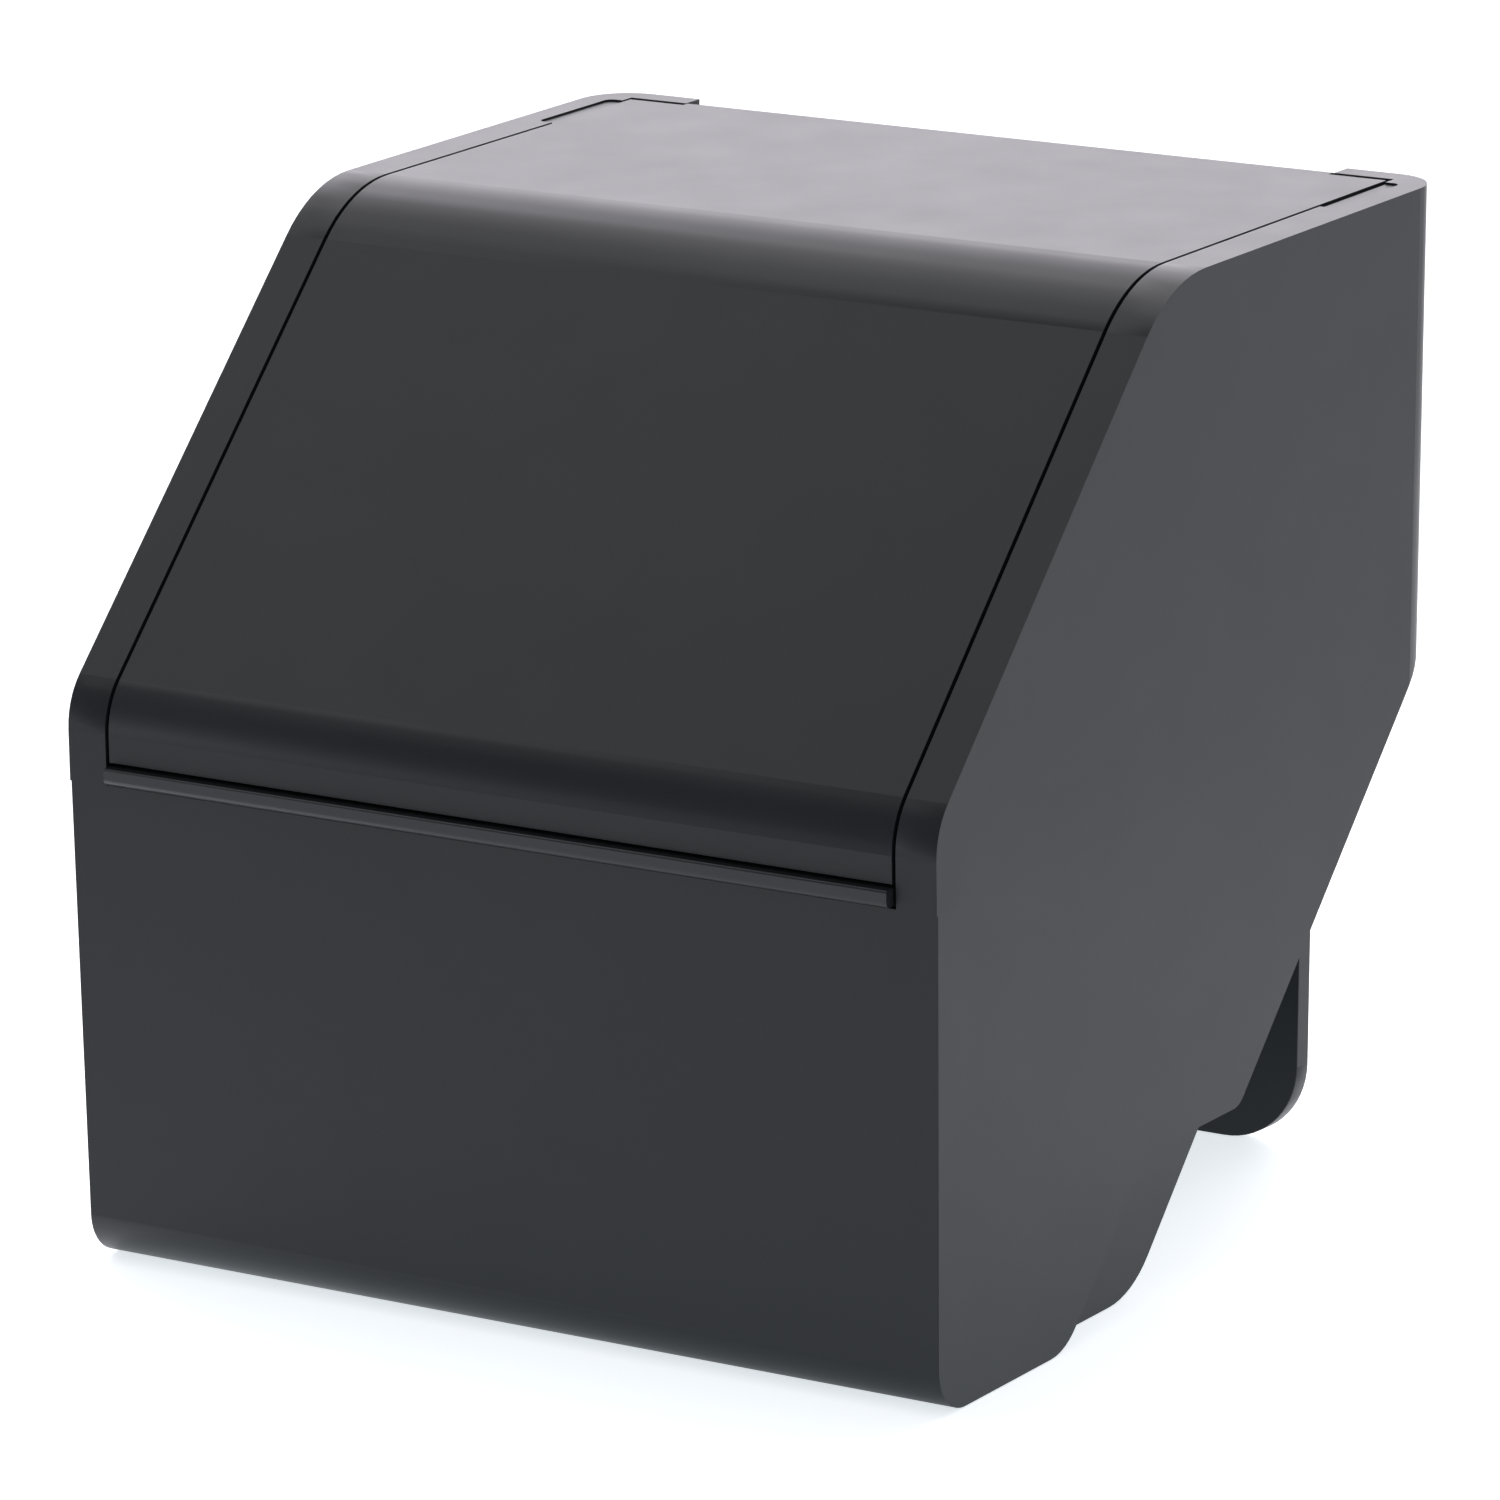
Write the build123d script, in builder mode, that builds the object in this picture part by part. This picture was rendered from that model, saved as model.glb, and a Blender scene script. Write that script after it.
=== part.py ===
from build123d import *

import math
import os

os.makedirs("parts", exist_ok=True)

# ---------------------------------------------------------------- driving dimensions, mm
WIDTH = 190.0  # across the side walls
DEPTH = 187.0  # front wall to rear wall, at the top
HEIGHT = 193.0
WALL = 2.6  # housing and lid wall
BAR_PROUD = 2.0  # how far the lid's pull bar stands in front of the front wall
RIM = 8.5  # width of the housing rim beside the lid
LID_GAP = 0.8  # gap between the lid and the rim
SEAM_Z = 94.0  # top of the lower front wall
SEAM_STEP = 0.4  # the rim stands this much proud of the lower front wall
LID_LOW_Z = 98.6  # lower edge of the lid
RECESS = 0.4  # depth of the finger recesses in the rim
RECESS_Y = 166.0  # middle of the finger recesses
DRAFT_IN = 1.05  # how far each side leans in from the seam to the base

# Side outline: distance behind the front wall, and height
BASE_BEND = 9.0
SKIRT_Y = 44.5
SKIRT_Z = 30.0
SLOPE_LOW_Z = 109.6  # the 45 degree front slope would meet the front wall here
SLOPE_LOW_BEND = 14.0
SLOPE_TOP_BEND = 30.0
NOSE_Y = 79.2  # the rear underside would meet the base plane here
UNDER_ANGLE = 46.0
REAR_LEAN = 2.46  # the rear wall leans forward going down
REAR_CORNER = 10.0

# Hinge at the top rear edge
HINGE_Y = 184.4
HINGE_Z = 190.0
BARREL_R = 2.4
ROD_R = 1.2
BARREL_HALF = 73.2
NOTCH_HALF = 73.6
LID_REAR = HINGE_Y - BARREL_R  # the lid's opening ends here

# Inner hopper
HOPPER_HALF = 87.8
HOPPER_WALL = 2.2
HOPPER_FRONT = 12.6
HOPPER_REAR = 167.6
HOPPER_TOP = 177.0
HOPPER_SLOPE_Y = 90.4  # the hopper's sloped front edge would meet its top here
NOSE_BEND = 20.0
MOUTH_HALF = 62.0
MOUTH_FRONT = 20.0
MOUTH_REAR = 62.0

# Back plate
PLATE_HALF = 69.0
PLATE_T = 4.4
PLATE_GAP = 0.2  # behind the plate, in its sunk panel
PLATE_TOP = 178.0
PLATE_BEND = 16.0
WALL_HOLE_X = 40.0
WALL_HOLE_Z = (45.0, 140.0)
WALL_HOLE_R = 2.6
DRIVER_HOLE_R = 5.0
PLATE_SCREW_X = 55.0
PLATE_SCREW_Z = (118.0, 172.0)

# Chute fittings, measured along the sloped floor from its foot
THROAT_U = 22.0
FOLLOWER_U = 36.0
RAIL_FROM = 30.0
RAIL_TO = 124.0
RAIL_X = 78.5
RAIL_WIDE = 5.0
RAIL_HIGH = 4.0
FIT = 0.02  # radial clearance round a fixed screw or pin
RUN = 0.07  # radial clearance of the hinge rod in the lid
SLIDE = 0.3  # clearance of a sliding shoe

# Shank radii of the screws
RAIL_SCREW_R = 1.2
SMALL_SCREW_R = 1.25
LARGE_SCREW_R = 1.5

# ---------------------------------------------------------------- frame
FRONT_Y = (BAR_PROUD - DEPTH) / 2
SIDE = Plane(origin=(0, FRONT_Y, 0), x_dir=(0, 1, 0), z_dir=(1, 0, 0))
UNDER = math.radians(UNDER_ANGLE)
LEAN = math.radians(REAR_LEAN)
ALONG = Vector(0, math.cos(UNDER), math.sin(UNDER))  # up the sloped floor
NORMAL = Vector(0, -math.sin(UNDER), math.cos(UNDER))  # away from the sloped floor
FOOT = Vector(0, FRONT_Y + NOSE_Y, 0)
LOW = (Align.CENTER, Align.CENTER, Align.MIN)
HIGH = (Align.CENTER, Align.CENTER, Align.MAX)


def rear_y(z, inset=0.0):
    """Rear wall plane, moved inward by inset."""
    return DEPTH - (HEIGHT - z) * math.tan(LEAN) - inset / math.cos(LEAN)


def under_y(z, inset=0.0):
    """Sloped underside plane, moved inward by inset."""
    return NOSE_Y + z / math.tan(UNDER) - inset / math.sin(UNDER)


def under_z(y, inset=0.0):
    """Height of the sloped underside at a distance behind the front wall."""
    return (y - NOSE_Y) * math.tan(UNDER) + inset / math.cos(UNDER)


def bend_point():
    """Where the sloped underside meets the leaning rear wall."""
    rise = math.tan(UNDER)
    z = (rear_y(0) - NOSE_Y) * rise / (1 - math.tan(LEAN) * rise)
    return (rear_y(z), z)


def rounded_polygon(points, radii):
    """Sketch with a radius for each corner."""
    with BuildSketch() as shape:
        with BuildLine():
            FilletPolyline(*points, radius=radii, close=True)
        make_face()
    return shape.sketch


def case_outline(front=0.0):
    """Side outline of the housing as a sketch; front moves the lower front wall back."""
    points = [
        (front, 0),
        (SKIRT_Y, 0),
        (SKIRT_Y + SKIRT_Z, SKIRT_Z),
        (under_y(SKIRT_Z), SKIRT_Z),
        bend_point(),
        (DEPTH, HEIGHT),
        (HEIGHT - SLOPE_LOW_Z, HEIGHT),
        (0, SLOPE_LOW_Z),
    ]
    radii = [BASE_BEND, 12, 22, 5, 6, 0, SLOPE_TOP_BEND, SLOPE_LOW_BEND]
    if front:
        points += [(0, SEAM_Z), (front, SEAM_Z)]
        radii += [0, 0]
    return rounded_polygon(points, radii)


def front_band(near, far, low_z, rear):
    """Sketch that follows the front slope and the top between two depths below the outline."""
    def corners(depth):
        diagonal = depth * (math.sqrt(2) - 1)
        low = (depth, SLOPE_LOW_Z - diagonal)
        top = (HEIGHT - SLOPE_LOW_Z + diagonal, HEIGHT - depth)
        return low, top

    near_low, near_top = corners(near)
    far_low, far_top = corners(far)
    points = [(near, low_z), near_low, near_top, (rear, HEIGHT - near)]
    points += [(rear, HEIGHT - far), far_top, far_low, (far, low_z)]
    radii = [0, SLOPE_LOW_BEND - near, SLOPE_TOP_BEND - near, 0]
    radii += [0, SLOPE_TOP_BEND - far, SLOPE_LOW_BEND - far, 0]
    return rounded_polygon(points, radii)


def trim_sides(half):
    """Leans both sides in below the seam, from a half width at the seam."""
    with BuildSketch(Plane.XZ) as wedges:
        for side in (-1, 1):
            Polygon(
                (side * half, SEAM_Z),
                (side * (half + 5), SEAM_Z),
                (side * (half + 5), -1),
                (side * (half - DRAFT_IN), -1),
                align=None,
            )
    extrude(wedges.sketch, amount=DEPTH, both=True, mode=Mode.SUBTRACT)


def round_rear(half, inset):
    """Rounds the two upright rear corners along the leaning rear wall."""
    down = Plane(
        origin=(0, FRONT_Y + DEPTH - inset / math.cos(LEAN), HEIGHT + 10),
        x_dir=(1, 0, 0),
        z_dir=(0, -math.sin(LEAN), -math.cos(LEAN)),
    )
    reach = 2 * DEPTH
    with BuildSketch(down.offset(-10 * math.cos(LEAN))) as footprint:
        with Locations((0, reach / 2 - 10 * math.sin(LEAN))):
            Rectangle(2 * half, reach)
        rear = footprint.vertices().group_by(Axis.Y)[0]
        fillet(rear, REAR_CORNER - inset)
    extrude(footprint.sketch, amount=HEIGHT + 40, mode=Mode.INTERSECT)


def across(u):
    """Plane across the chute, u along its floor; its Y is the height above the floor."""
    return Plane(origin=FOOT + ALONG * u, x_dir=(-1, 0, 0), z_dir=ALONG)


def on_floor(height):
    """Plane parallel to the chute floor; its Y runs up the slope."""
    return Plane(origin=FOOT + NORMAL * height, x_dir=(1, 0, 0), z_dir=NORMAL)


def block(plane, x, y, size_x, size_y, amount, mode=Mode.ADD):
    """Rectangle centred at (x, y) on a plane, extruded by amount."""
    with BuildSketch(plane) as face:
        with Locations((x, y)):
            Rectangle(size_x, size_y)
    extrude(face.sketch, amount=amount, mode=mode)


def drill(places, radius, depth):
    """Round holes going in against the Z direction of each place."""
    for place in places:
        with Locations(place):
            Cylinder(radius, depth, align=HIGH, mode=Mode.SUBTRACT)


def screws(places, head_r, head_h, shank_r, shank_l):
    """Pan-head screws: the head stands on each place, the shank goes in behind it."""
    for place in places:
        with Locations(place):
            Cylinder(head_r, head_h, align=LOW)
            Cylinder(shank_r, shank_l, align=HIGH)
        with Locations(place.offset(head_h)):
            Cylinder(0.4 * head_r, 0.6 * head_h, align=HIGH, mode=Mode.SUBTRACT)


def save(builder, name):
    """Labels a finished piece and writes its file."""
    builder.part.label = name
    export_step(builder.part, f"parts/{name}.step")


# ---------------------------------------------------------------- places of the fasteners
HOPPER_SCREWS = [
    Plane(origin=(side * (HOPPER_HALF - HOPPER_WALL), FRONT_Y + y, z), z_dir=(-side, 0, 0))
    for side in (-1, 1)
    for y, z in ((24.0, 60.0), (128.0, 138.0))
]
PLATE_SCREWS = [
    Plane(origin=(side * PLATE_SCREW_X, FRONT_Y + rear_y(z, PLATE_T + PLATE_GAP + WALL), z),
          z_dir=(0, -math.cos(LEAN), math.sin(LEAN)))
    for side in (-1, 1)
    for z in PLATE_SCREW_Z
]
THROAT_SCREWS = [
    Plane(origin=FOOT + ALONG * (THROAT_U + HOPPER_WALL) + NORMAL * n + Vector(side * 82.0, 0, 0),
          z_dir=ALONG)
    for side in (-1, 1)
    for n in (32.0, 88.0)
]
BAR_SCREWS = [
    Plane(origin=(x, FRONT_Y + 5.6, 96.1), z_dir=(0, 0, -1))
    for x in (-60.0, 0.0, 60.0)
]
RAIL_SCREWS = {
    side: [
        Plane(origin=FOOT + ALONG * u + NORMAL * (HOPPER_WALL + 2.0) + Vector(side * RAIL_X, 0, 0),
              z_dir=NORMAL)
        for u in (RAIL_FROM + 6, RAIL_TO - 8)
    ]
    for side in (-1, 1)
}
BUMPER_STEM_R = 1.5
BUMPERS = {side: (side * 70.0, FRONT_Y + 6.4) for side in (-1, 1)}

# ---------------------------------------------------------------- housing
with BuildPart() as cavity:
    with BuildSketch(SIDE):
        add(case_outline())
        offset(amount=-WALL, kind=Kind.INTERSECTION)
    extrude(amount=WIDTH / 2 - WALL, both=True)
    round_rear(WIDTH / 2 - WALL, WALL)
    trim_sides(WIDTH / 2 - WALL)

with BuildPart() as housing:
    with BuildSketch(SIDE):
        add(case_outline(SEAM_STEP))
    extrude(amount=WIDTH / 2, both=True)
    round_rear(WIDTH / 2, 0)
    trim_sides(WIDTH / 2)
    add(cavity.part, mode=Mode.SUBTRACT)
    # The opening that the lid closes
    with BuildSketch(SIDE):
        Polygon((-5, SEAM_Z), (-5, 220), (LID_REAR, 220), (LID_REAR, 184), (150, 184), (10, SEAM_Z),
                align=None)
    extrude(amount=WIDTH / 2 - RIM, both=True, mode=Mode.SUBTRACT)
    # Return walls beside the lid
    for side in (-1, 1):
        with BuildSketch(SIDE.offset(side * (WIDTH / 2 - RIM))):
            add(front_band(1.0, 12.0, SEAM_Z - 4, LID_REAR))
        extrude(amount=side * 2.0)
    # Shallow finger recesses in the rim beside the rear corners of the lid
    for side in (-1, 1):
        with BuildSketch(Plane.XY.offset(HEIGHT - RECESS)):
            with Locations((side * (WIDTH / 2 - RIM + 1.0), FRONT_Y + RECESS_Y)):
                RectangleRounded(4.6, 25.4, 1.6)
        extrude(amount=20, mode=Mode.SUBTRACT)
    # Open underside that the hopper fills
    with BuildSketch(SIDE):
        Polygon((12, -5), (12, 30), (160, 115), (168, 115), (168, -5), align=None)
    extrude(amount=HOPPER_HALF + 0.5, both=True, mode=Mode.SUBTRACT)
    # Sunk panel in the rear wall for the back plate, and its floor
    with BuildSketch(SIDE):
        Polygon((rear_y(103, PLATE_T), 103), (rear_y(187, PLATE_T), 187),
                (rear_y(187, PLATE_T + PLATE_GAP + WALL), 187),
                (rear_y(103, PLATE_T + PLATE_GAP + WALL), 103), align=None)
    extrude(amount=PLATE_HALF + 3.2, both=True)
    with BuildSketch(SIDE):
        Polygon((rear_y(-5, PLATE_T + PLATE_GAP), -5),
                (rear_y(PLATE_TOP + 0.6, PLATE_T + PLATE_GAP), PLATE_TOP + 0.6),
                (DEPTH + 5, PLATE_TOP + 0.6), (DEPTH + 5, -5), align=None)
    extrude(amount=PLATE_HALF + 0.4, both=True, mode=Mode.SUBTRACT)
    # Hinge knuckles in the two upper rear corners
    for side in (-1, 1):
        with BuildSketch(SIDE.offset(side * NOTCH_HALF)):
            with BuildLine():
                FilletPolyline((LID_REAR, 183), (LID_REAR, HEIGHT), (DEPTH, HEIGHT),
                               (rear_y(183), 183), radius=[0, 1.6, 1.0, 0], close=True)
            make_face()
        extrude(amount=side * (WIDTH / 2 - WALL - 8.0 - NOTCH_HALF))
    with BuildSketch(SIDE):
        Polygon((178, HINGE_Z - BARREL_R - 0.4), (178, 210), (200, 210),
                (200, HINGE_Z - BARREL_R - 0.4), align=None)
    extrude(amount=NOTCH_HALF, both=True, mode=Mode.SUBTRACT)
    with Locations(Plane(origin=(0, FRONT_Y + HINGE_Y, HINGE_Z), z_dir=(1, 0, 0))):
        Cylinder(ROD_R + FIT, 2 * (NOTCH_HALF + 8.4), mode=Mode.SUBTRACT)
    # Shelf behind the slot, which carries the lid's bumpers
    block(Plane.XY.offset(90.4), 0, FRONT_Y + 6.0, 2 * (WIDTH / 2 - RIM + 1), 8.0, 2.2)
    for x, y in BUMPERS.values():
        drill([Plane(origin=(x, y, 93))], BUMPER_STEM_R + FIT, 4)
    # Screw bosses for the hopper, on the insides of the side walls
    for place in HOPPER_SCREWS:
        with Locations(place.offset(-HOPPER_WALL - 0.1)):
            Cylinder(3.6, 5.2, align=HIGH)
    drill(HOPPER_SCREWS, SMALL_SCREW_R + FIT, 7.0)
    # Screw holes for the back plate and driver holes for the wall screws
    drill([place.offset(0.5) for place in PLATE_SCREWS], LARGE_SCREW_R + FIT, 5)
    drill([Plane(origin=(side * WALL_HOLE_X, FRONT_Y + 170, WALL_HOLE_Z[1]), z_dir=(0, -1, 0))
           for side in (-1, 1)], DRIVER_HOLE_R, 20)
save(housing, "housing")

# ---------------------------------------------------------------- hopper
with BuildPart() as hopper:
    with BuildSketch(SIDE):
        slope_rise = HOPPER_TOP - HOPPER_SLOPE_Y
        with BuildLine():
            FilletPolyline(
                (HOPPER_FRONT, 0),
                (NOSE_Y, 0),
                (HOPPER_REAR, under_z(HOPPER_REAR)),
                (HOPPER_REAR, HOPPER_TOP),
                (HOPPER_SLOPE_Y, HOPPER_TOP),
                (HOPPER_FRONT, HOPPER_FRONT + slope_rise),
                radius=[3, NOSE_BEND, 3, 3, 20, 12],
                close=True,
            )
        make_face()
    extrude(amount=HOPPER_HALF, both=True)
    inner_rear = HOPPER_REAR - HOPPER_WALL
    with BuildSketch(SIDE):
        with BuildLine():
            FilletPolyline(
                (-5, HOPPER_WALL),
                (under_y(HOPPER_WALL, HOPPER_WALL), HOPPER_WALL),
                (inner_rear, under_z(inner_rear, HOPPER_WALL)),
                (inner_rear, 250),
                (-5, 250),
                radius=[0, NOSE_BEND - HOPPER_WALL, 0, 0, 0],
                close=True,
            )
        make_face()
    extrude(amount=HOPPER_HALF - HOPPER_WALL, both=True, mode=Mode.SUBTRACT)
    # Napkin mouth in the base
    with BuildSketch(Plane.XY.offset(-1)):
        with Locations((0, FRONT_Y + (MOUTH_FRONT + MOUTH_REAR) / 2)):
            RectangleRounded(2 * MOUTH_HALF, MOUTH_REAR - MOUTH_FRONT, 5)
    extrude(amount=HOPPER_WALL + 2, mode=Mode.SUBTRACT)
    # Lowered rear wall, so that a hand reaches the wall screws behind it
    with BuildSketch(Plane(origin=(0, FRONT_Y + HOPPER_REAR + 5, 0), x_dir=(1, 0, 0), z_dir=(0, -1, 0))):
        with Locations((0, 178)):
            RectangleRounded(2 * 66, 90, 14)
    extrude(amount=10, mode=Mode.SUBTRACT)
    # Ledges that carry the throat plate
    for side in (-1, 1):
        block(across(THROAT_U - 5), side * (HOPPER_HALF - HOPPER_WALL - 3), 60, 6.4, 76, 5)
    drill(THROAT_SCREWS, SMALL_SCREW_R + FIT, 7)
    drill([place.offset(0.5) for place in HOPPER_SCREWS], SMALL_SCREW_R + FIT, 4)
    for side in (-1, 1):
        drill([place.offset(-2.0) for place in RAIL_SCREWS[side]], RAIL_SCREW_R + FIT, 1.7)
save(hopper, "hopper")

# ---------------------------------------------------------------- throat plate
with BuildPart() as throat_plate:
    block(across(THROAT_U), 0, 56.5, 2 * (HOPPER_HALF - HOPPER_WALL - 0.2), 105, HOPPER_WALL)
    with BuildSketch(across(THROAT_U - 1)):
        with Locations((0, 54)):
            RectangleRounded(96, 44, 21.9)
    extrude(amount=HOPPER_WALL + 2, mode=Mode.SUBTRACT)
    # Finger slot across the opening, so that the fingers reach the first napkin
    with BuildSketch(across(THROAT_U - 1)):
        with Locations((0, 54)):
            SlotCenterToCenter(34, 62, rotation=90)
    extrude(amount=HOPPER_WALL + 2, mode=Mode.SUBTRACT)
    drill([place.offset(0.5) for place in THROAT_SCREWS], SMALL_SCREW_R + FIT, 4)
save(throat_plate, "throat_plate")

# ---------------------------------------------------------------- back plate
rear_plane = Plane(
    origin=(0, FRONT_Y + rear_y(0), 0),
    x_dir=(1, 0, 0),
    z_dir=(0, -math.cos(LEAN), math.sin(LEAN)),
)
with BuildPart() as back_plate:
    with BuildSketch(rear_plane) as plate_face:
        with Locations((0, PLATE_TOP / 2)):
            Rectangle(2 * PLATE_HALF, PLATE_TOP)
        fillet(plate_face.vertices().group_by(Axis.Y)[0], PLATE_BEND)
        fillet(plate_face.vertices().group_by(Axis.Y)[-1], 3)
    extrude(amount=PLATE_T)
    for z in WALL_HOLE_Z:
        drill([Plane(origin=(side * WALL_HOLE_X, FRONT_Y + DEPTH - 25, z), z_dir=(0, -1, 0))
               for side in (-1, 1)], WALL_HOLE_R, 40)
    drill(PLATE_SCREWS, LARGE_SCREW_R + FIT, 6.2)
save(back_plate, "back_plate")

# ---------------------------------------------------------------- lid
with BuildPart() as lid:
    with BuildSketch(SIDE):
        add(front_band(0, WALL, LID_LOW_Z, 180.4))
    extrude(amount=WIDTH / 2 - RIM - LID_GAP, both=True)
    # Side skirts stiffen the lid
    for side in (-1, 1):
        with BuildSketch(SIDE.offset(side * (WIDTH / 2 - RIM - LID_GAP))):
            add(front_band(WALL / 2, 8.6, LID_LOW_Z, 176))
        extrude(amount=-side * 2.0)
    # Cross ribs under the top
    for y in (112.0, 146.0):
        block(Plane.XY.offset(HEIGHT - 6.5), 0, FRONT_Y + y, 2 * 84.0, 1.8, 5.0)
    # Foot that the pull bar is screwed to
    block(Plane.XY.offset(LID_LOW_Z), 0, FRONT_Y + 4.2, 2 * 84.0, 8.0, 2.4)
    # Web and barrel of the hinge
    with BuildSketch(SIDE):
        tip = math.radians(20)
        Polygon((179, HEIGHT - WALL), (179, HEIGHT), (181.9, HEIGHT),
                (HINGE_Y + BARREL_R * math.sin(tip), HINGE_Z + BARREL_R * math.cos(tip)),
                (HINGE_Y, HINGE_Z), (HINGE_Y - 1.6, HINGE_Z - 1.7), align=None)
        with Locations((HINGE_Y, HINGE_Z)):
            Circle(BARREL_R)
            Circle(ROD_R + RUN, mode=Mode.SUBTRACT)
    extrude(amount=BARREL_HALF, both=True)
    drill([place.offset(-2.0) for place in BAR_SCREWS], SMALL_SCREW_R + FIT, 2.4)
save(lid, "lid")

with BuildPart() as hinge_rod:
    with Locations(Plane(origin=(0, FRONT_Y + HINGE_Y, HINGE_Z), z_dir=(1, 0, 0))):
        Cylinder(ROD_R, 2 * (NOTCH_HALF + 8.0))
    chamfer(hinge_rod.edges(), 0.3)
save(hinge_rod, "hinge_rod")

# ---------------------------------------------------------------- lid pull bar
with BuildPart() as lid_pull_bar:
    with BuildSketch(SIDE):
        with BuildLine():
            FilletPolyline(
                (8, 94.5),
                (-BAR_PROUD, 94.5),
                (-BAR_PROUD, 97.9),
                (3, 97.9),
                (3, LID_LOW_Z),
                (8, LID_LOW_Z),
                radius=[0, 1.3, 0.5, 0, 0, 0],
                close=True,
            )
        make_face()
    extrude(amount=WIDTH / 2 - RIM - LID_GAP, both=True)
    drill([place.offset(2.0) for place in BAR_SCREWS], 2.5, 2.0)
    drill(BAR_SCREWS, SMALL_SCREW_R + FIT, 5)
save(lid_pull_bar, "lid_pull_bar")

# ---------------------------------------------------------------- lid bumpers
for side, name in ((-1, "lid_bumper_left"), (1, "lid_bumper_right")):
    with BuildPart() as lid_bumper:
        with Locations((*BUMPERS[side], 92.6)):
            Cylinder(3.4, 1.7, align=LOW)
            Cylinder(BUMPER_STEM_R, 2.6, align=HIGH)
        fillet(lid_bumper.edges().group_by(Axis.Z)[-1], 0.5)
    save(lid_bumper, name)

# ---------------------------------------------------------------- guide rails
for side, name in ((-1, "guide_rail_left"), (1, "guide_rail_right")):
    with BuildPart() as guide_rail:
        block(on_floor(HOPPER_WALL), side * RAIL_X, (RAIL_FROM + RAIL_TO) / 2,
              RAIL_WIDE, RAIL_TO - RAIL_FROM, RAIL_HIGH)
        chamfer(guide_rail.edges().filter_by(lambda e: abs(e.center().X - side * RAIL_X) < 0.1)
                .sort_by(lambda e: (e.center() - FOOT).dot(NORMAL))[-2:], 0.6)
        drill([place.offset(2.5) for place in RAIL_SCREWS[side]], 2.1, 2.5)
        drill(RAIL_SCREWS[side], RAIL_SCREW_R + FIT, 4)
    save(guide_rail, name)

# ---------------------------------------------------------------- follower
shoe_base = HOPPER_WALL + SLIDE
with BuildPart() as follower_plate:
    with BuildSketch(across(FOLLOWER_U)) as plate_face:
        with Locations((0, 57)):
            RectangleRounded(2 * 80.0, 93, 8)
    extrude(amount=2.0)
    # Finger tab along the upper edge
    block(across(FOLLOWER_U), 0, 102.5, 44, 2.0, 14)
    screw_heads = [
        Plane(origin=FOOT + ALONG * FOLLOWER_U + NORMAL * n + Vector(x, 0, 0), z_dir=-ALONG)
        for x in (-RAIL_X + 3, -40, 40, RAIL_X - 3)
        for n in ((17,) if abs(x) > 50 else (40,))
    ]
    drill([place.offset(1) for place in screw_heads], LARGE_SCREW_R + FIT, 4)
save(follower_plate, "follower_plate")

with BuildPart() as follower_weight:
    with BuildSketch(across(FOLLOWER_U + 2)):
        with Locations((0, 42)):
            RectangleRounded(110, 40, 5)
    extrude(amount=8)
    chamfer(follower_weight.faces().sort_by(lambda f: f.center().dot(ALONG))[-1].edges(), 1.0)
    drill([place.offset(-2) for place in screw_heads], LARGE_SCREW_R + FIT, 5)
save(follower_weight, "follower_weight")

for side, name in ((-1, "follower_shoe_left"), (1, "follower_shoe_right")):
    with BuildPart() as follower_shoe:
        block(across(FOLLOWER_U + 2), -side * RAIL_X, shoe_base + 3.5, 11, 7.0, 14)
        block(across(FOLLOWER_U + 2), -side * (RAIL_X - 3), shoe_base + 13, 9, 16, 3.5)
        block(across(FOLLOWER_U + 1), -side * RAIL_X, HOPPER_WALL + RAIL_HIGH / 2,
              RAIL_WIDE + 2 * SLIDE, RAIL_HIGH + 2 * SLIDE, 20, Mode.SUBTRACT)
        drill([place.offset(-2) for place in screw_heads], LARGE_SCREW_R + FIT, 4)
    save(follower_shoe, name)

# ---------------------------------------------------------------- fasteners
with BuildPart() as hopper_screws:
    screws(HOPPER_SCREWS, 2.6, 1.3, SMALL_SCREW_R, 6.6)
save(hopper_screws, "hopper_screws")

with BuildPart() as back_plate_screws:
    screws(PLATE_SCREWS, 3.0, 1.8, LARGE_SCREW_R, 5.8)
save(back_plate_screws, "back_plate_screws")

with BuildPart() as throat_screws:
    screws(THROAT_SCREWS, 2.4, 1.4, SMALL_SCREW_R, 6.4)
save(throat_screws, "throat_screws")

with BuildPart() as pull_bar_screws:
    screws(BAR_SCREWS, 2.3, 1.4, SMALL_SCREW_R, 4.2)
save(pull_bar_screws, "pull_bar_screws")

with BuildPart() as rail_screws:
    screws(RAIL_SCREWS[-1] + RAIL_SCREWS[1], 1.9, 1.4, RAIL_SCREW_R, 3.4)
save(rail_screws, "rail_screws")

with BuildPart() as follower_screws:
    screws(screw_heads, 2.8, 1.4, LARGE_SCREW_R, 5.2)
save(follower_screws, "follower_screws")
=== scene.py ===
import math

import bpy
from mathutils import Matrix, Vector


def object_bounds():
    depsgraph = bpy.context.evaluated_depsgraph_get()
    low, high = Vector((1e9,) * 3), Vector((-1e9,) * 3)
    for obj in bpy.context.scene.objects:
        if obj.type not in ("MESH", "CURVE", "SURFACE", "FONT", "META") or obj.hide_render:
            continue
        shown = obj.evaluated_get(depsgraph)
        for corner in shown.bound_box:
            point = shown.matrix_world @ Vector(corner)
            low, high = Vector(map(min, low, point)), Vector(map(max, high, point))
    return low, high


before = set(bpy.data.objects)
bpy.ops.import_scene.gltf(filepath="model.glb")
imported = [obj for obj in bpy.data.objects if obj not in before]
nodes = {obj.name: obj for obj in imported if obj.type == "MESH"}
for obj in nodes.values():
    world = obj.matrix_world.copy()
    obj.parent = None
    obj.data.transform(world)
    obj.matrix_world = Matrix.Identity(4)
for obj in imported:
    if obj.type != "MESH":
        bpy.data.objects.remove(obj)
cad_low, cad_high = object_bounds()

MM = 0.001

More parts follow.
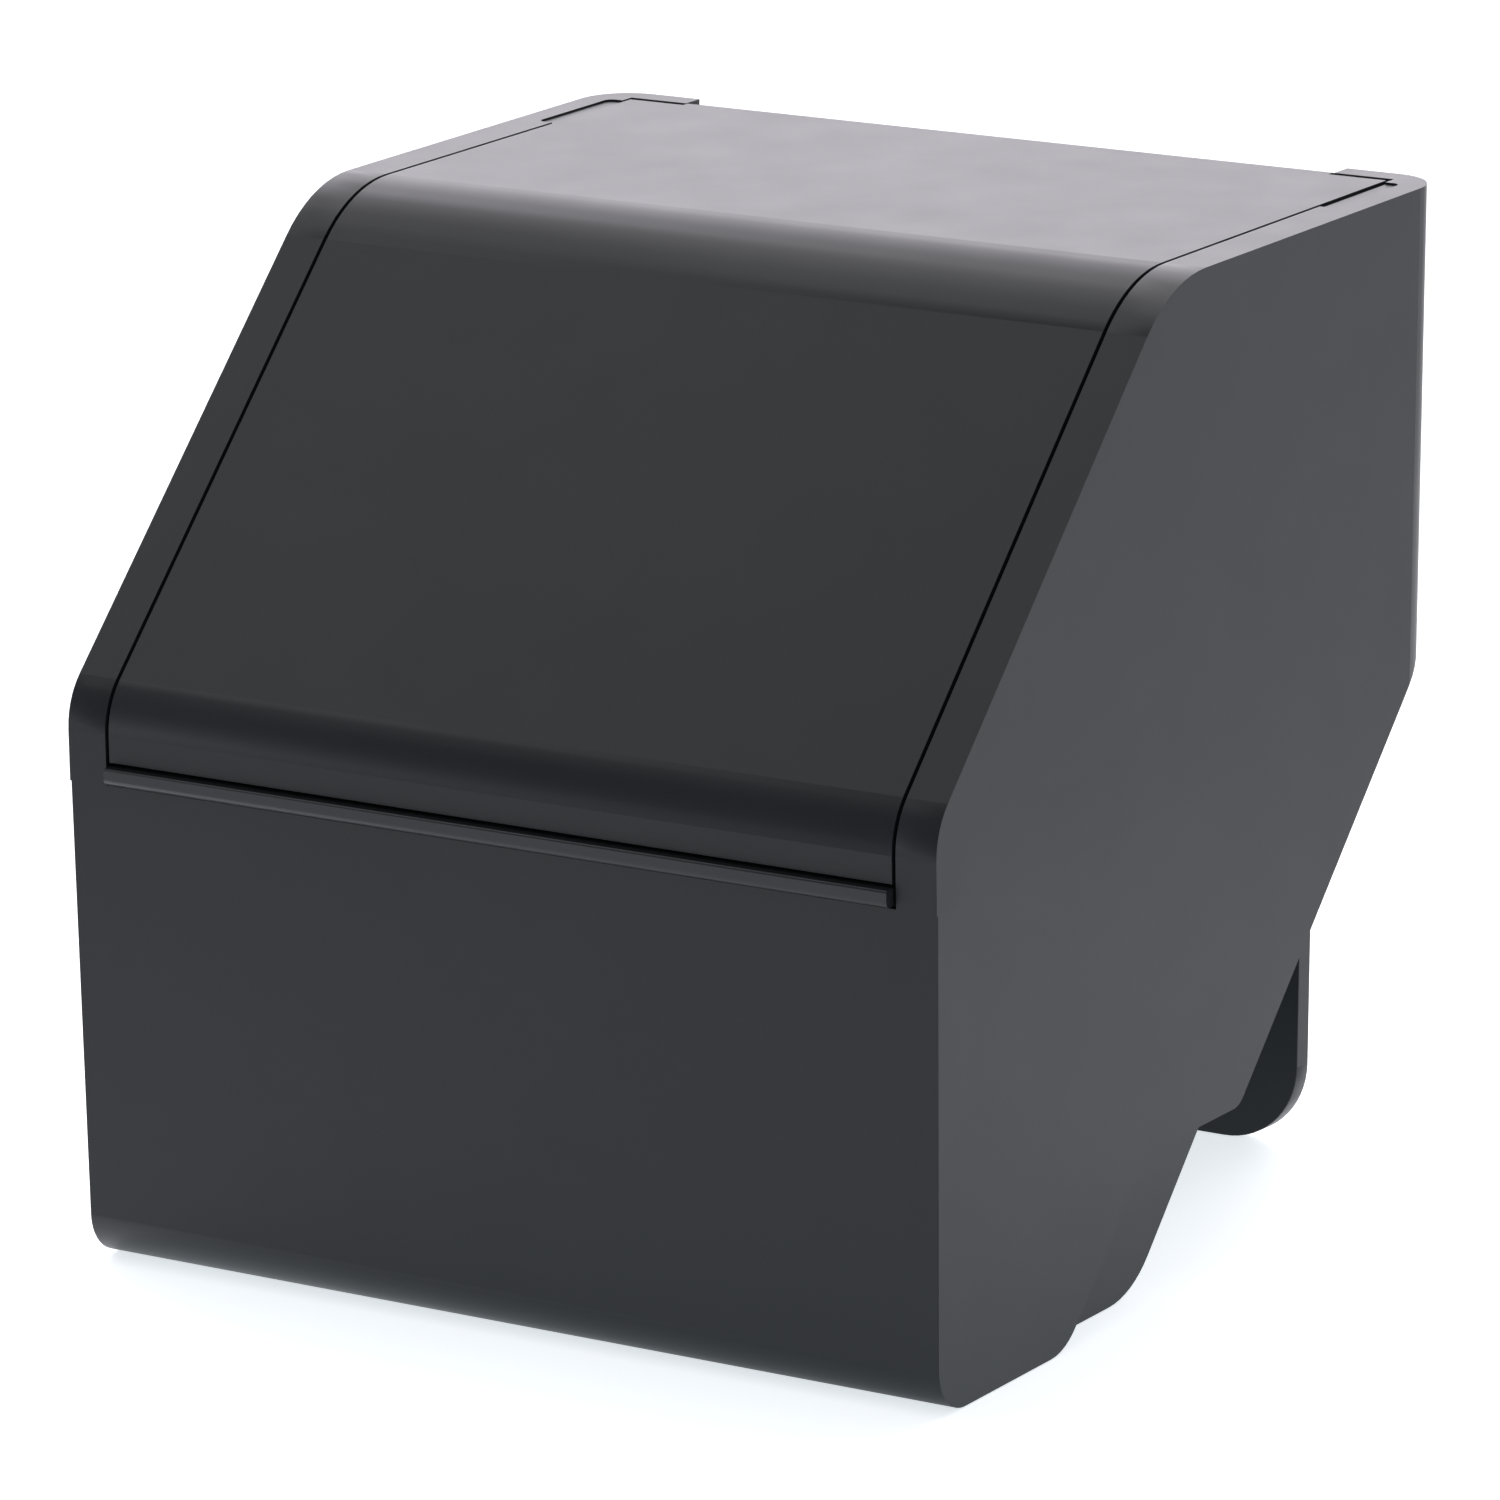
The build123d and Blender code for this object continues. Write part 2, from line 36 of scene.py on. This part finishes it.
# ------------------------------------------------------------------ camera settings
# The view is given by its turn about the object, its tilt and its roll.
AZIMUTH = math.radians(32.82)
ELEVATION = math.radians(14.92)
ROLL = math.radians(0.973)
DISTANCE = 1.816
LENS_MM = 230.0
SENSOR_MM = 36.0
AIM_OFFSET = Vector((-1.6, -2.7, -5.5)) * MM  # from the middle of the CAD box

# ------------------------------------------------------------------ studio settings, metres and watts
BRIGHT_WALL = (-0.45, 0.89, 0.0)  # direction of the bright wall behind the object
WALL_EDGE = 0.35  # cosine of the angle from that direction where the wall's light begins
WALL_FULL = 0.95  # and where it is full
ROOM_FRONT = 0.3
ROOM_BACK = 3.0
ROOM_COLOUR = (1.0, 0.965, 1.03, 1)

FLOOR_REACH = 3.0
FLOOR_DROP = 0.2 * MM  # keeps the floor just clear of the base
FLOOR_TONES = (0.86, 0.86, 0.865, 1), (0.88, 0.88, 0.88, 1)
FLOOR_ROUGHNESS = 0.6
FLOOR_CLOUD_MM = 400.0
GLOW_NEAR = 0.72  # the lit table is brightest under the object
GLOW_FAR = 0.42
GLOW_START = 0.15  # distances from the object's middle over which the glow fades
GLOW_END = 0.5
GLOW_COLOUR = (0.93, 0.99, 1.03, 1)

# Each soft light: name, place, aim, size, watts
LIGHTS = (
    ("overhead", (-0.3, 0.5, 1.9), (0, 0, 0.1), (1.6, 1.2), 10.0),
    ("slope", (-1.25, -0.4, 1.7), (0, 0, 0.1), (1.1, 1.1), 4.6),
    ("key", (1.4, -0.85, 1.0), (0, 0, 0.05), (0.8, 0.8), 3.0),
)

# ------------------------------------------------------------------ surface settings
NOISE_LOW = 0.25  # most of a noise texture lies between these values
NOISE_HIGH = 0.75
DRIFT_MM = 45.0  # slow tone drift over a moulding
CLOUD_MM = 14.0  # patches that are a little more or less glossy
FLECK_SHARE = 0.35
FLECK_GAIN = 1.6

WELD_MM = 0.002
FLAT_ANGLE = math.radians(0.4)
EDGE_ANGLE = math.radians(28)
EDGE_SEGMENTS = 3

# Edge radius of each piece, mm
EDGE_MM = {
    "housing": 0.55,
    "lid": 0.4,
    "lid_pull_bar": 0.25,
    "hopper": 0.5,
    "back_plate": 0.5,
    "throat_plate": 0.4,
    "follower_plate": 0.35,
    "follower_weight": 0.3,
    "guide_rail_left": 0.25,
    "guide_rail_right": 0.25,
    "follower_shoe_left": 0.3,
    "follower_shoe_right": 0.3,
}


def map_range(tree, value, start, end, low, high, kind="LINEAR"):
    """Turns the values from start to end into the values from low to high."""
    node = tree.nodes.new("ShaderNodeMapRange")
    node.interpolation_type = kind
    node.inputs["From Min"].default_value = start
    node.inputs["From Max"].default_value = end
    node.inputs["To Min"].default_value = low
    node.inputs["To Max"].default_value = high
    tree.links.new(value, node.inputs["Value"])
    return node.outputs["Result"]


# ------------------------------------------------------------------ camera
def make_camera():
    middle = (Vector(cad_low) + Vector(cad_high)) / 2
    forward = Vector((
        -math.sin(AZIMUTH) * math.cos(ELEVATION),
        math.cos(AZIMUTH) * math.cos(ELEVATION),
        -math.sin(ELEVATION),
    ))
    level_right = Vector((math.cos(AZIMUTH), math.sin(AZIMUTH), 0))
    level_up = level_right.cross(forward)
    right = level_right * math.cos(ROLL) - level_up * math.sin(ROLL)
    up = level_up * math.cos(ROLL) + level_right * math.sin(ROLL)
    turn = Matrix((right, up, -forward)).transposed().to_4x4()
    data = bpy.data.cameras.new("camera")
    data.lens = LENS_MM
    data.sensor_width = SENSOR_MM
    data.clip_start = 0.05
    data.clip_end = 50.0
    camera = bpy.data.objects.new("camera", data)
    camera.matrix_world = Matrix.Translation(middle + AIM_OFFSET - forward * DISTANCE) @ turn
    bpy.context.scene.collection.objects.link(camera)
    bpy.context.scene.camera = camera


# ------------------------------------------------------------------ materials
class Graph:
    """A material's node tree, with short calls for the nodes that the materials share."""

    def __init__(self, name):
        self.material = bpy.data.materials.new(name)
        self.material.use_nodes = True
        self.tree = self.material.node_tree
        self.shader = self.tree.nodes["Principled BSDF"]
        self.place = self.tree.nodes.new("ShaderNodeTexCoord").outputs["Object"]

    def feed(self, socket, value):
        if isinstance(value, bpy.types.NodeSocket):
            self.tree.links.new(value, socket)
        else:
            socket.default_value = value

    def noise(self, cell_mm, detail=2.0, roughness=0.5):
        node = self.tree.nodes.new("ShaderNodeTexNoise")
        self.feed(node.inputs["Vector"], self.place)
        node.inputs["Scale"].default_value = 1 / (cell_mm * MM)
        node.inputs["Detail"].default_value = detail
        node.inputs["Roughness"].default_value = roughness
        return node.outputs["Fac"]

    def spread(self, value, low, high):
        """Stretches a noise value over low to high."""
        return map_range(self.tree, value, NOISE_LOW, NOISE_HIGH, low, high)

    def mix(self, factor, first, second):
        node = self.tree.nodes.new("ShaderNodeMix")
        node.data_type = "RGBA"
        self.feed(node.inputs["Factor"], factor)
        self.feed(node.inputs["A"], first)
        self.feed(node.inputs["B"], second)
        return node.outputs["Result"]

    def bump(self, height, depth_mm, strength):
        node = self.tree.nodes.new("ShaderNodeBump")
        self.feed(node.inputs["Height"], height)
        node.inputs["Distance"].default_value = depth_mm * MM
        node.inputs["Strength"].default_value = strength
        return node.outputs["Normal"]

    def finish(self, colour, roughness, normal=None, **fixed):
        self.feed(self.shader.inputs["Base Color"], colour)
        self.feed(self.shader.inputs["Roughness"], roughness)
        if normal is not None:
            self.feed(self.shader.inputs["Normal"], normal)
        for name, value in fixed.items():
            self.shader.inputs[name].default_value = value
        return self.material


def moulded_plastic(name, dark, light, gloss, grain_mm=0.35, grain_depth=0.006, ior=1.5):
    """Moulded plastic: fine grain, pale flecks, slow tone drift and patches of varying gloss."""
    g = Graph(name)
    grain = g.noise(grain_mm, 3.0, 0.6)
    drift = g.noise(DRIFT_MM)
    cloud = g.noise(CLOUD_MM, 3.0)
    colour = g.mix(drift, (*dark, 1), (*light, 1))
    pale = (*[part * FLECK_GAIN for part in light], 1)
    fleck = g.mix(g.spread(grain, 0.0, FLECK_SHARE), colour, pale)
    return g.finish(fleck, g.spread(cloud, *gloss), g.bump(grain, grain_depth, 0.6), IOR=ior)


def metal(name, base, bright, gloss, cell_mm=0.6):
    """Plated or rolled metal with a fine cloudy finish."""
    g = Graph(name)
    cloud = g.noise(6.0, 4.0, 0.6)
    fine = g.noise(cell_mm, 3.0, 0.6)
    colour = g.mix(cloud, (*base, 1), (*bright, 1))
    return g.finish(colour, g.spread(fine, *gloss), g.bump(fine, 0.004, 0.5), Metallic=1.0)


def rubber(name):
    """Soft black rubber with a dry bloom."""
    g = Graph(name)
    bloom = g.noise(3.0, 4.0, 0.65)
    fine = g.noise(0.3)
    colour = g.mix(bloom, (0.016, 0.016, 0.017, 1), (0.04, 0.04, 0.042, 1))
    return g.finish(colour, g.spread(bloom, 0.62, 0.8), g.bump(fine, 0.01, 0.6))


CASE = moulded_plastic(
    "case_plastic", (0.0070, 0.0095, 0.0115), (0.0092, 0.0122, 0.0148), (0.385, 0.415), ior=1.38
)
# Pull bar plastic: a paler copy of the case plastic. Its lighter base colour is a painted highlight
# for the light the bar catches. Its lower roughness is real gloss.
BAR_PAINTED_HIGHLIGHT = moulded_plastic(
    "bar_plastic_painted_highlight", (0.011, 0.0125, 0.015), (0.016, 0.018, 0.021), (0.26, 0.34),
    grain_mm=0.5, grain_depth=0.003, ior=1.42,
)
# Plastic of the throat and follower plates: paler than the case plastic. The paler tone is painted
# light that lifts these parts out of the shade inside the housing.
INNER_PAINTED_LIGHTER = moulded_plastic(
    "inner_plastic", (0.075, 0.078, 0.084), (0.095, 0.098, 0.105), (0.5, 0.6),
    grain_mm=0.5, grain_depth=0.01,
)
SLIDE = moulded_plastic(
    "slide_plastic", (0.62, 0.61, 0.58), (0.70, 0.69, 0.66), (0.28, 0.4),
    grain_mm=0.5, grain_depth=0.003,
)
RUBBER = rubber("bumper_rubber")
STEEL = metal("zinc_steel", (0.50, 0.50, 0.49), (0.62, 0.62, 0.60), (0.28, 0.45))
WEIGHT = metal("weight_steel", (0.10, 0.10, 0.105), (0.17, 0.17, 0.175), (0.42, 0.6), 1.2)

# The rod and the screws are steel
FINISH = {
    "housing": CASE,
    "lid": CASE,
    "lid_pull_bar": BAR_PAINTED_HIGHLIGHT,
    "hopper": CASE,
    "back_plate": CASE,
    "throat_plate": INNER_PAINTED_LIGHTER,
    "follower_plate": INNER_PAINTED_LIGHTER,
    "guide_rail_left": SLIDE,
    "guide_rail_right": SLIDE,
    "follower_shoe_left": SLIDE,
    "follower_shoe_right": SLIDE,
    "lid_bumper_left": RUBBER,
    "lid_bumper_right": RUBBER,
    "follower_weight": WEIGHT,
}


def soften(node, width_mm):
    """Rounds a CAD node's edges as a mould or a tumbling drum does."""
    weld = node.modifiers.new("weld", "WELD")
    weld.merge_threshold = WELD_MM * MM
    flat = node.modifiers.new("flat", "DECIMATE")
    flat.decimate_type = "DISSOLVE"
    flat.angle_limit = FLAT_ANGLE
    bevel = node.modifiers.new("edge", "BEVEL")
    bevel.width = width_mm * MM
    bevel.segments = EDGE_SEGMENTS
    bevel.limit_method = "ANGLE"
    bevel.angle_limit = EDGE_ANGLE
    bevel.harden_normals = True
    bevel.use_clamp_overlap = True


def dress_nodes():
    for name, node in nodes.items():
        node.data.materials.clear()
        node.data.materials.append(FINISH.get(name, STEEL))
        if name in EDGE_MM:
            soften(node, EDGE_MM[name])


# ------------------------------------------------------------------ stage and light
def clear_from_below(g):
    """Makes the floor clear from its underside, so that the object's base can be looked at."""
    new = g.tree.nodes.new
    through = new("ShaderNodeMixShader")
    g.feed(through.inputs[0], new("ShaderNodeNewGeometry").outputs["Backfacing"])
    g.feed(through.inputs[1], g.shader.outputs[0])
    g.feed(through.inputs[2], new("ShaderNodeBsdfTransparent").outputs[0])
    g.feed(g.tree.nodes["Material Output"].inputs["Surface"], through.outputs[0])


def floor_material():
    """Pale table, lit from within most strongly round the object."""
    g = Graph("floor")
    away = g.tree.nodes.new("ShaderNodeVectorMath")
    away.operation = "LENGTH"
    g.feed(away.inputs[0], g.place)
    glow = map_range(
        g.tree, away.outputs["Value"], GLOW_START, GLOW_END, GLOW_NEAR, GLOW_FAR, "SMOOTHSTEP"
    )
    g.feed(g.shader.inputs["Emission Strength"], glow)
    g.shader.inputs["Emission Color"].default_value = GLOW_COLOUR
    clear_from_below(g)
    return g.finish(g.mix(g.noise(FLOOR_CLOUD_MM), *FLOOR_TONES), FLOOR_ROUGHNESS)


def make_stage():
    mesh = bpy.data.meshes.new("floor")
    corners = [
        (x * FLOOR_REACH, y * FLOOR_REACH, 0)
        for x, y in ((-1, -1), (1, -1), (1, 1), (-1, 1))
    ]
    mesh.from_pydata(corners, [], [(0, 1, 2, 3)])
    mesh.materials.append(floor_material())
    floor = bpy.data.objects.new("floor", mesh)
    floor.location = (0, 0, cad_low[2] - FLOOR_DROP)
    bpy.context.scene.collection.objects.link(floor)


def area_light(name, place, aim, size, watts):
    data = bpy.data.lights.new(name, "AREA")
    data.shape = "RECTANGLE"
    data.size, data.size_y = size
    data.energy = watts
    light = bpy.data.objects.new(name, data)
    turn = (Vector(aim) - Vector(place)).to_track_quat("-Z", "Y").to_matrix().to_4x4()
    light.matrix_world = Matrix.Translation(place) @ turn
    bpy.context.scene.collection.objects.link(light)


def make_world():
    """A plain studio: a bright wall behind the object and a dim room in front."""
    world = bpy.data.worlds.new("studio")
    world.use_nodes = True
    tree = world.node_tree
    facing = tree.nodes.new("ShaderNodeVectorMath")
    facing.operation = "DOT_PRODUCT"
    facing.inputs[1].default_value = BRIGHT_WALL
    tree.links.new(tree.nodes.new("ShaderNodeTexCoord").outputs["Generated"], facing.inputs[0])
    strength = map_range(
        tree, facing.outputs["Value"], WALL_EDGE, WALL_FULL, ROOM_FRONT, ROOM_BACK, "SMOOTHSTEP"
    )
    background = tree.nodes["Background"]
    tree.links.new(strength, background.inputs["Strength"])
    background.inputs["Color"].default_value = ROOM_COLOUR
    bpy.context.scene.world = world


make_camera()
make_stage()
make_world()
for settings in LIGHTS:
    area_light(*settings)
dress_nodes()
bpy.context.scene.view_settings.view_transform = "Standard"
